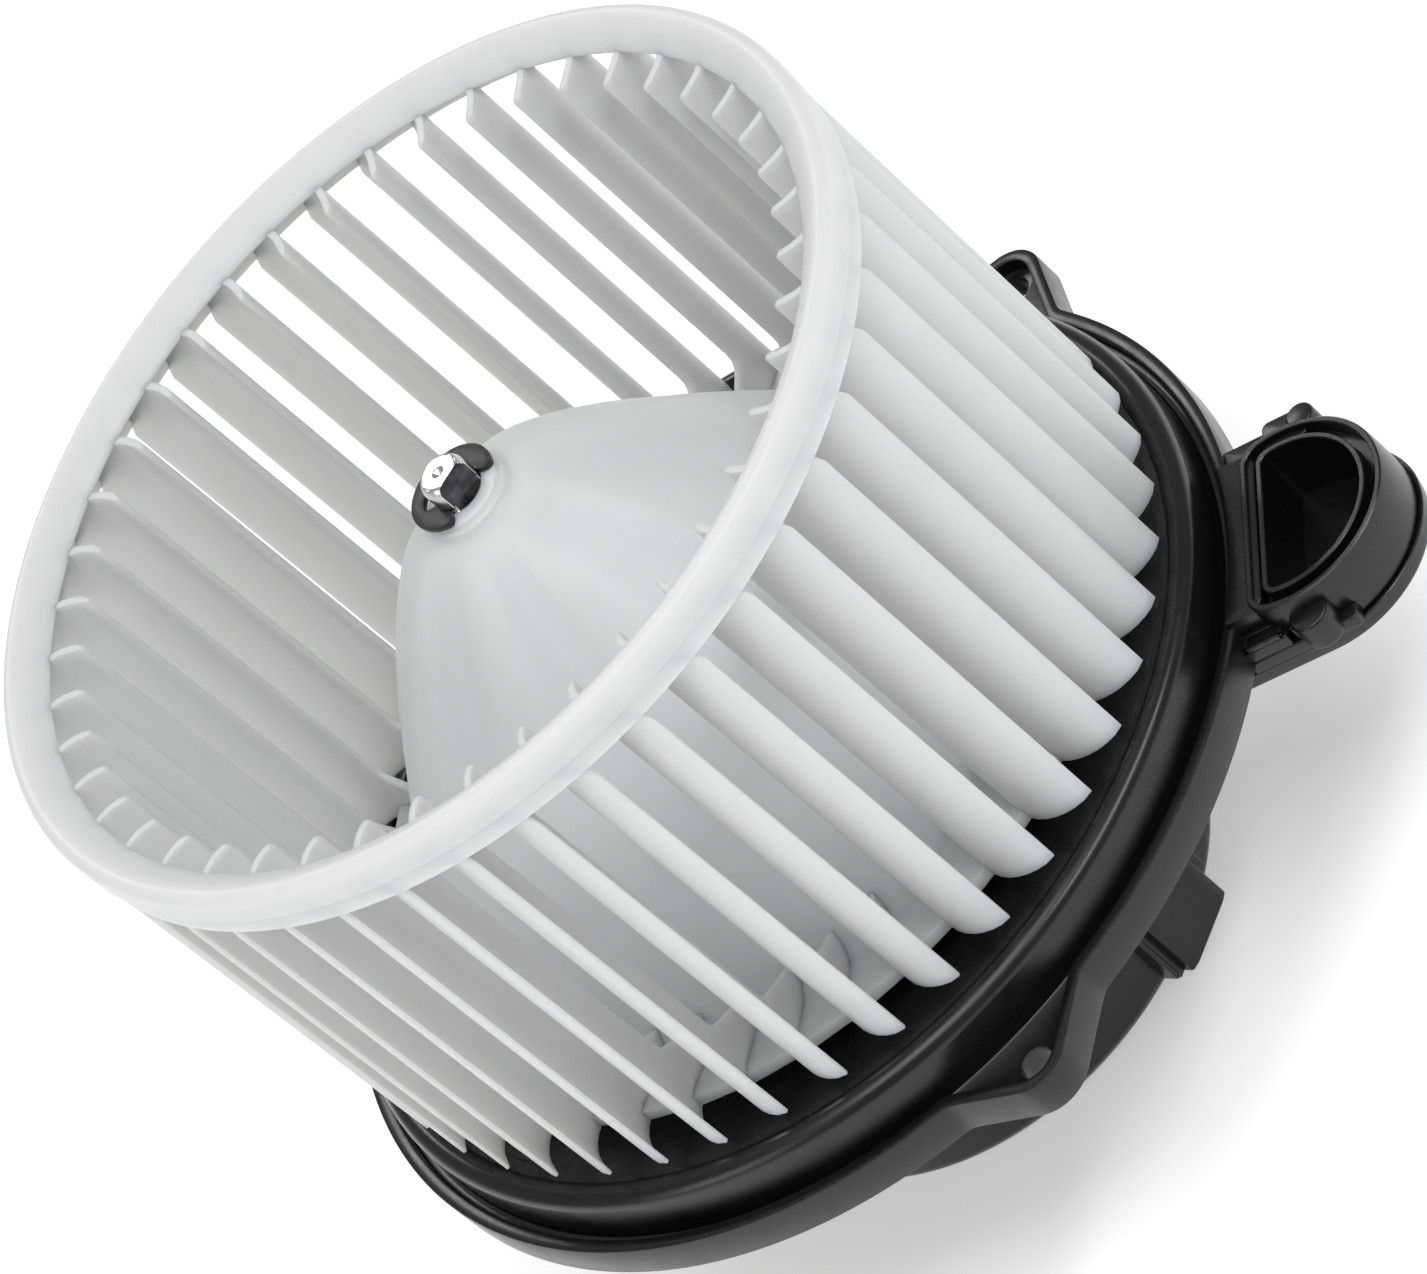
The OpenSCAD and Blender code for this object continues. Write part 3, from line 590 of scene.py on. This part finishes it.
def flange_shell():
    """Motor tube, plate, bead, channel and rim in one surface whose outer part follows the ears."""
    under = CHANNEL_Z - PLATE_T
    floor_z = PLATE_Z - PLATE_T
    step = 58.0
    bead_in, bead_out = BEAD_R - BEAD_ROUND, BEAD_R + BEAD_ROUND
    plate = [(TUBE_IR, -0.5), (TUBE_IR, TUBE_Z - 0.4), (TUBE_IR + 0.4, TUBE_Z), (TUBE_OR - 0.4, TUBE_Z),
             (TUBE_OR, TUBE_Z - 0.4), (TUBE_OR, PLATE_Z + 1.2), (TUBE_OR + 0.35, PLATE_Z + 0.35),
             (TUBE_OR + 1.2, PLATE_Z), (step, PLATE_Z), (step + 0.3, PLATE_Z + 0.25),
             (step + 1.2, PLATE_Z + 0.25), (step + 1.5, PLATE_Z), (70, PLATE_Z),
             (bead_in - 2.0, PLATE_Z), (bead_in - 1.8, PLATE_Z + 0.28), (bead_in - 1.2, PLATE_Z + 0.32),
             (bead_in - 0.6, PLATE_Z + 0.12)]
    bead = []
    for k in range(15):
        t = math.radians(168 - 168 * k / 14)
        bead.append((BEAD_R + BEAD_ROUND * math.cos(t), BEAD_Z - BEAD_ROUND + BEAD_ROUND * math.sin(t)))
    channel = [(bead_out, CHANNEL_Z + 0.6), (bead_out + 0.15, CHANNEL_Z + 0.2), (bead_out + 0.5, CHANNEL_Z)]
    rim_in = [(-0.5, CHANNEL_Z), (-0.15, CHANNEL_Z + 0.15), (0, CHANNEL_Z + 0.5), (0, -0.3), (0.09, -0.09),
              (0.3, 0)]
    rim_out = [(-0.35, 0), (-0.1, -0.1), (0, -0.35), (0, SKIRT_Z + 0.3), (-0.09, SKIRT_Z + 0.09),
               (-0.3, SKIRT_Z)]
    rim_under = [(0.3, SKIRT_Z), (0, SKIRT_Z + 0.3), (0, under)]
    underside = [(bead_out - 1.9, under), (bead_out - 2.5, under + 0.6), (bead_out - 2.5, floor_z - 0.6),
                 (bead_out - 3.1, floor_z), (TUBE_OR + 0.6, floor_z), (TUBE_OR, floor_z - 0.6),
                 (TUBE_OR, -0.5)]
    fixed, inner, outer = 0, 1, 2
    parts = [(fixed, plate + bead + channel), (inner, rim_in), (outer, rim_out), (inner, rim_under),
             (fixed, underside)]
    skin = [(kind, r, z) for kind, points in parts for r, z in points]
    rings = []
    for angle in flange_angles():
        a = math.radians(angle)
        base = (0.0, rim_reach(angle, RIM_W), rim_reach(angle, 0))
        rings.append([((base[kind] + r) * math.cos(a), (base[kind] + r) * math.sin(a), z)
                      for kind, r, z in skin])
    return loft(rings, closed=True)


def drill(target, r, spots, z0, z1):
    """Cuts round holes through the piece."""
    cutters = merge([prism(circle(x, y, r, 48), z0, z1, 0.01, 1) for x, y in spots])
    mesh = bpy.data.meshes.new("cutter")
    mesh.from_pydata((cutters[0] * MM).tolist(), [], cutters[1])
    cutter = bpy.data.objects.new("cutter", mesh)
    SCENE.collection.objects.link(cutter)
    cut = target.modifiers.new("cut", "BOOLEAN")
    cut.operation = "DIFFERENCE"
    cut.solver = "EXACT"
    cut.object = cutter
    bpy.context.view_layer.update()
    flat = bpy.data.meshes.new_from_object(target.evaluated_get(bpy.context.evaluated_depsgraph_get()))
    target.modifiers.clear()
    target.data = flat
    flat.set_sharp_from_angle(angle=math.radians(35))
    bpy.data.objects.remove(cutter)
    bpy.data.meshes.remove(mesh)


def ear_spots():
    """Centres of the three screw holes."""
    turns = [math.radians(a) for a in EAR_ANGLES]
    return [(SCREW_R * math.cos(t), SCREW_R * math.sin(t)) for t in turns]


def flange_under():
    """Ribs, screw posts and ear bosses on the underside."""
    top = PLATE_Z - PLATE_T + 0.2
    low = -3.0
    rib = block(TUBE_OR - 0.2, BEAD_R - 0.4, -0.9, 0.9, low, top, 0.25, 0.3)
    post = prism(circle(LUG_SPOT, 0, LUG_R, 36), low, top, 0.3)
    shells = [turned(rib, k * 30) for k in range(1, 12)]
    shells += [turned(post, a) for a in LUG_ANGLES]
    for x, y in ear_spots():
        shells.append(ring_at(x, y, SCREW_HOLE_R, 4.4, SKIRT_Z, CHANNEL_Z - PLATE_T + 0.2))
    return merge(shells)


def port_outline(grow):
    """D shape of the port's opening, grown by a distance: a round side and a straight side."""
    r, flat = PORT_R + grow, PORT_FLAT - grow
    corner = max(0.3, PORT_CORNER + grow * 0.6)
    middle_x = flat + corner
    reach_y = math.sqrt(max(0.0, (r - corner) ** 2 - (middle_x - PORT_X) ** 2))
    join = math.atan2(reach_y, middle_x - PORT_X)
    points = []
    for k in range(61):
        a = -join + 2 * join * k / 60
        points.append((PORT_X + r * math.cos(a), r * math.sin(a)))
    for k in range(1, 9):
        a = join + (math.pi - join) * k / 8
        points.append((middle_x + corner * math.cos(a), reach_y + corner * math.sin(a)))
    for k in range(1, 10):
        points.append((flat, reach_y * (1 - 2 * k / 10)))
    for k in range(8):
        a = math.pi + (math.pi - join) * k / 8
        points.append((middle_x + corner * math.cos(a), -reach_y + corner * math.sin(a)))
    return np.array(points)


def port_shell():
    """The port's wall: a thin inner lip, a groove, and an outer wall down to the seam."""
    lip, land, foot = 0.9, 2.8, SEAM_Z - 3.0
    profile = [(lip, -0.9), (lip, PORT_Z - 0.15), (lip - 0.15, PORT_Z), (0.15, PORT_Z), (0, PORT_Z - 0.15),
               (0, foot + 0.4), (0.3, foot), (1.2, foot), (1.2, SEAM_Z), (PORT_WALL - 0.3, SEAM_Z),
               (PORT_WALL - 0.05, SEAM_Z + 0.2), (PORT_WALL, SEAM_Z + 0.5), (PORT_WALL + 0.12, SEAM_Z + 3),
               (PORT_WALL + 0.12, -2.5), (PORT_WALL, PORT_Z - 0.6), (PORT_WALL - 0.1, PORT_Z - 0.2),
               (PORT_WALL - 0.35, PORT_Z), (land + 0.15, PORT_Z), (land, PORT_Z - 0.15), (land, -0.9),
               (land - 0.15, -1.1), (lip + 0.15, -1.1)]
    rings = []
    for grow, z in profile:
        outline = port_outline(grow)
        rings.append(np.c_[outline, np.full(len(outline), z)])
    return loft(rings, closed=True)


def port_land():
    """Flat land between the flange's rim and the port, with the latches on both sides of it."""
    half, inner, corner_x = 15.6, FLANGE_R - 1.4, PORT_FLAT - 1.6
    turns = [math.radians(a) for a in np.linspace(10.8, -10.8, 13)]
    edge = [(inner * math.cos(t), inner * math.sin(t)) for t in turns]
    outline = [(corner_x, -half + 2), (corner_x, half - 2), (corner_x - 1.4, half)] + edge
    outline += [(corner_x - 1.4, -half)]
    shells = [prism(soften(outline, 0.4, 2), SKIRT_Z, 0.9, 0.35)]
    x, side = PORT_X, -(PORT_R + PORT_WALL)
    # front latch: a shelf, a raised frame with a sunk window, and a round boss beyond it
    shells.append(block(x - 12.3, x + 7.1, side - 1.6, side + 4.6, SKIRT_Z - 1.4, SKIRT_Z + 0.9, 0.3, 0.8))
    shells.append(block(x - 11.3, x - 3.7, side - 1.4, side + 1.9, SKIRT_Z + 0.6, -3.4, 0.3, 0.5))
    for y0, y1 in ((side - 1.3, side - 0.6), (side + 1.2, side + 1.9)):
        shells.append(block(x - 10.9, x - 4.1, y0, y1, -3.6, -2.7, 0.15, 0.2))
    for x0 in (x - 10.9, x - 4.9):
        shells.append(block(x0, x0 + 0.8, side - 1.3, side + 1.9, -3.6, -2.7, 0.15, 0.2))
    shells.append(prism(circle(x + 1.3, side - 0.5, 3.4, 40), SKIRT_Z - 0.5, -1.4, 0.6, 4))
    shells.append(block(x - 3.1, x + 1.1, side - 1.2, side + 3.2, SKIRT_Z, -2.8, 0.5, 0.9))
    # rear latch: a bar with a step and a rounded end
    shells.append(block(x - 11.5, x - 3.3, -side - 2.5, -side + 2.3, SKIRT_Z, -0.6, 0.35, 0.7))
    shells.append(block(x - 3.7, x + 4.3, -side - 2.5, -side + 3.4, SKIRT_Z, 0.2, 0.35, 1.2))
    shells.append(prism(circle(x + 3.3, -side + 1.2, 2.4, 32), SKIRT_Z - 0.6, 0.9, 0.6, 3))
    return merge(shells)


# ---------------------------------------------------------------- motor cover
def duct_shell():
    """Lower half of the air duct, from the port to the motor cover, with a lip along the seam."""
    half, inner_x, wall = PORT_R + PORT_WALL + 0.7, COVER_R - 8, 2.2
    turns = [math.radians(a) for a in np.linspace(-88, 88, 49)]
    points = [(inner_x, -half)]
    points += [(PORT_X + half * math.cos(t), half * math.sin(t)) for t in turns]
    points += [(inner_x, half)]
    outline = np.array(points)
    levels = [(wall, DUCT_Z), (1.2, DUCT_Z + 0.1), (0.5, DUCT_Z + 0.5), (0.35, DUCT_Z + 1.0),
              (0.3, SEAM_Z - 1.3), (0.05, SEAM_Z - 1.1), (0, SEAM_Z - 0.9), (0, SEAM_Z - 0.35),
              (0.2, SEAM_Z - 0.15), (wall, SEAM_Z - 0.15), (wall, DUCT_Z + wall)]
    rings = [np.c_[inset(outline, d), np.full(len(outline), z)] for d, z in levels]
    return loft(rings)


def cover_shell():
    """The cup round the motor: a plain wall, a rounded bottom edge, and rings sunk in the bottom."""
    top, z, sunk = PLATE_Z - PLATE_T - 0.1, COVER_Z, COVER_Z + 0.9
    inner, bead_z = COVER_R - COVER_WALL, COVER_Z + 22
    profile = soften([(COVER_R, top, 0.3), (inner, top, 0.3), (inner, z + COVER_WALL, 2),
                      (0.2, z + COVER_WALL, 0), (0.2, sunk, 0), (9, sunk, 0.4), (9.8, z, 0.4),
                      (15.5, z, 0.4), (16.2, sunk, 0.4), (29, sunk, 0.4), (29.8, z, 0.4), (37.6, z, 0.3),
                      (38.0, z + 0.5, 0.2), (38.8, z + 0.5, 0.2), (39.2, z, 0.3), (COVER_R - 0.2, z, 2.6),
                      (COVER_R, bead_z, 0.2), (COVER_R + 0.3, bead_z + 0.3, 0.1),
                      (COVER_R + 0.3, bead_z + 1.3, 0.1), (COVER_R, bead_z + 1.6, 0.1)], 0.3, 4)
    return spin(profile, 216)


def cover_ribs():
    """Spokes on the cover's bottom, the lugs for the cover's screws, and the box that the duct enters."""
    spoke = block(15.6, 29.8, -0.8, 0.8, COVER_Z + 0.1, COVER_Z + 1.6, 0.2, 0.2)
    shells = [turned(spoke, k * 60 + 30) for k in range(6)]
    low, top = -7.0, -3.0
    lug = prism(circle(LUG_SPOT, 0, LUG_R, 40), low, top, 0.3)
    arm = block(COVER_R - 1.2, LUG_SPOT, -2, 2, low, top - 0.05, 0.3, 0.3)
    for a in LUG_ANGLES:
        shells += [turned(lug, a), turned(arm, a)]
    half, box_top = PORT_R + PORT_WALL, PLATE_Z - PLATE_T - 0.2
    shells.append(block(COVER_R - 4, BEAD_R - 2.3, -half, half, SEAM_Z - 0.2, box_top, 0.4, 1))
    return merge(shells)


def tower():
    """Boxed rib on the cover's side, stepped across, with a groove and a bead along it."""
    half, outer, z0, top = TOWER_HALF, TOWER_R, COVER_Z, -4.0
    inner = COVER_R - 3
    box = [(COVER_R - 8, -half + 0.6), (outer - 1.2, -half), (outer, -half + 1.8), (outer + 0.1, 0.4),
           (outer - 0.6, 1.2), (outer - 0.9, half - 0.7), (outer - 1.8, half), (COVER_R - 8, half - 0.6)]
    shells = [prism(soften(box, 0.35, 3), z0 + SOCKET_H, top, 0.3)]
    shells.append(block(inner, outer - 1.5, -half - 2.2, -half - 1.2, z0 + 1.2, top, 0.3, 0.4))
    shells.append(block(inner, outer - 1.7, -half - 1.6, -half + 0.6, z0 + 0.6, top, 0.3, 0.3))
    shells.append(block(inner, outer - 1.4, half - 0.6, half + 2.2, z0 + 6, top, 0.3, 0.6))
    return turned(merge(shells), TOWER_ANGLE)


def socket_shell():
    """Connector shroud at the foot of the tower, open at the bottom."""
    x0, x1, half, wall = COVER_R - 7.8, TOWER_R + 0.1, TOWER_HALF, SOCKET_WALL
    z0, z1 = COVER_Z, COVER_Z + SOCKET_H
    levels = [(0, z0 + 0.3), (0, z1), (5.2, z1), (4.0, z0 + 13.2), (wall, z0 + 13), (wall, z0 + 0.3),
              (wall - 0.2, z0), (0.3, z0)]
    box = [(x0, -half), (x1 - 0.4, -half), (x1, -half + 1.6), (x1, half - 1.6), (x1 - 0.4, half), (x0, half)]
    outline = soften(box, 0.5, 3)
    centre = np.array([(x0 + x1) / 2, 0])
    size = np.array([(x1 - x0) / 2, half])
    rings = []
    for d, z in levels:
        points = (outline - centre) * (1 - d / size) + centre
        rings.append(np.c_[points, np.full(len(points), z)])
    return turned(loft(rings, closed=True), TOWER_ANGLE)


# ---------------------------------------------------------------- the object
piece("fan_ring", wheel_ring(), "rotor", WHITE, ("wheel_ring",))
piece("fan_blades", wheel_blades(), "rotor", WHITE, ("wheel_blades",), sharp=50)
piece("fan_hub", wheel_hub(), "rotor", WHITE, ("wheel_hub",), sharp=50)
piece("motor_shaft", shaft(), "rotor", SHAFT_STEEL, ("shaft",), sharp=14)
piece("shaft_clip", spring_clip(), "rotor", CLIP_BLACK, ("spring_clip",))

flange = piece("flange_body", flange_shell(), "housing", BLACK, ("flange_plate",), sharp=40)
drill(flange, SCREW_HOLE_R, ear_spots(), CHANNEL_Z - 4, CHANNEL_Z + 1.5)
for name, shell, stands_for in (("flange_underside", flange_under(), "flange_plate"),
                                ("air_port", port_shell(), "flange_plate"),
                                ("port_land_and_latches", port_land(), "flange_plate"),
                                ("cover_cup", cover_shell(), "motor_cover"),
                                ("cover_duct", duct_shell(), "motor_cover"),
                                ("cover_lugs", cover_ribs(), "motor_cover"),
                                ("cover_tower", tower(), "motor_cover"),
                                ("connector_shroud", socket_shell(), "connector_shell")):
    piece(name, shell, "housing", BLACK, (stands_for,))

CARRIED = {
    BRASS: ("connector_terminals", "brush_holders"),
    RUBBER: ("slinger_washer", "upper_isolator", "lower_isolator"),
    CORE_STEEL: ("armature_core",),
    COPPER_WIRE: ("armature_windings", "choke_coils"),
    COPPER: ("commutator",),
    NYLON: ("thrust_washers",),
    ZINC: ("cover_screws",),
    CAN_STEEL: ("motor_can", "end_plate", "magnet_springs", "upper_bearing_retainer",
                "lower_bearing_retainer", "brush_spring_left", "brush_spring_right"),
    FERRITE: ("magnet_front", "magnet_back"),
    BRONZE: ("upper_bearing", "lower_bearing"),
    FELT: ("upper_oil_felt", "lower_oil_felt"),
    CARD: ("brush_card",),
    CARBON: ("brush_left", "brush_right"),
    WIRE_SKIN: ("lead_wires",),
}
for look, names in CARRIED.items():
    for name in names:
        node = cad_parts[name]
        node.data.materials.clear()
        node.data.materials.append(look)


# ---------------------------------------------------------------- floor, light and camera
def floor():
    """Plain pale floor under the motor cover."""
    side, z = 6.0, COVER_Z * MM - 0.001
    corners = [(-side, -side, z), (side, -side, z), (side, side, z), (-side, side, z)]
    mesh = bpy.data.meshes.new("floor")
    mesh.from_pydata(corners, [], [(0, 1, 2, 3)])
    made = bpy.data.objects.new("floor", mesh)
    SCENE.collection.objects.link(made)
    look = bpy.data.materials.new("floor_white")
    look.use_nodes = True
    shader = look.node_tree.nodes["Principled BSDF"]
    shader.inputs["Base Color"].default_value = (0.93, 0.93, 0.93, 1)
    shader.inputs["Roughness"].default_value = 0.9
    shader.inputs["Specular IOR Level"].default_value = 0.1
    shader.inputs["Emission Color"].default_value = (1, 1, 1, 1)
    shader.inputs["Emission Strength"].default_value = 0.42
    mesh.materials.append(look)


def softbox(name, place, aim, size, power):
    """A rectangular area light at a place in metres, facing a point."""
    light = bpy.data.lights.new(name, "AREA")
    light.shape = "RECTANGLE"
    light.size, light.size_y = size
    light.energy = power
    made = bpy.data.objects.new(name, light)
    made.location = place
    made.rotation_mode = "QUATERNION"
    made.rotation_quaternion = (Vector(aim) - Vector(place)).to_track_quat("-Z", "Y")
    SCENE.collection.objects.link(made)


def studio():
    """Even pale surroundings, a large box above, one at each side and one behind."""
    world = bpy.data.worlds.new("studio")
    SCENE.world = world
    world.use_nodes = True
    sky = world.node_tree.nodes["Background"]
    sky.inputs["Color"].default_value = (1, 1, 1, 1)
    sky.inputs["Strength"].default_value = 0.32
    middle = (0, 0, 0.03)
    softbox("top_box", (0.05, -0.4, 1.25), middle, (0.8, 0.8), 6.5)
    softbox("right_box", (0.8, -0.15, 0.95), middle, (0.9, 0.16), 5)
    softbox("left_box", (-0.7, -0.9, 0.5), middle, (0.5, 0.7), 2)
    softbox("back_box", (-0.8, 1.1, 1.05), middle, (0.4, 0.4), 3.2)


def photo_camera():
    """Long lens, rolled so that the shaft points up and to the left."""
    place, target = Vector((0.5019, -0.6903, 0.6617)), Vector((0.0175, -0.0109, 0.04))
    roll = math.radians(49.5)
    lens = bpy.data.cameras.new("camera")
    lens.sensor_width = 36
    lens.lens = 176.7
    lens.clip_start, lens.clip_end = 0.05, 20
    made = bpy.data.objects.new("camera", lens)
    made.location = place
    made.rotation_mode = "QUATERNION"
    made.rotation_quaternion = (target - place).to_track_quat("-Z", "Y") @ Quaternion((0, 0, 1), -roll)
    SCENE.collection.objects.link(made)
    SCENE.camera = made


floor()
studio()
photo_camera()
SCENE.view_settings.view_transform = "Standard"
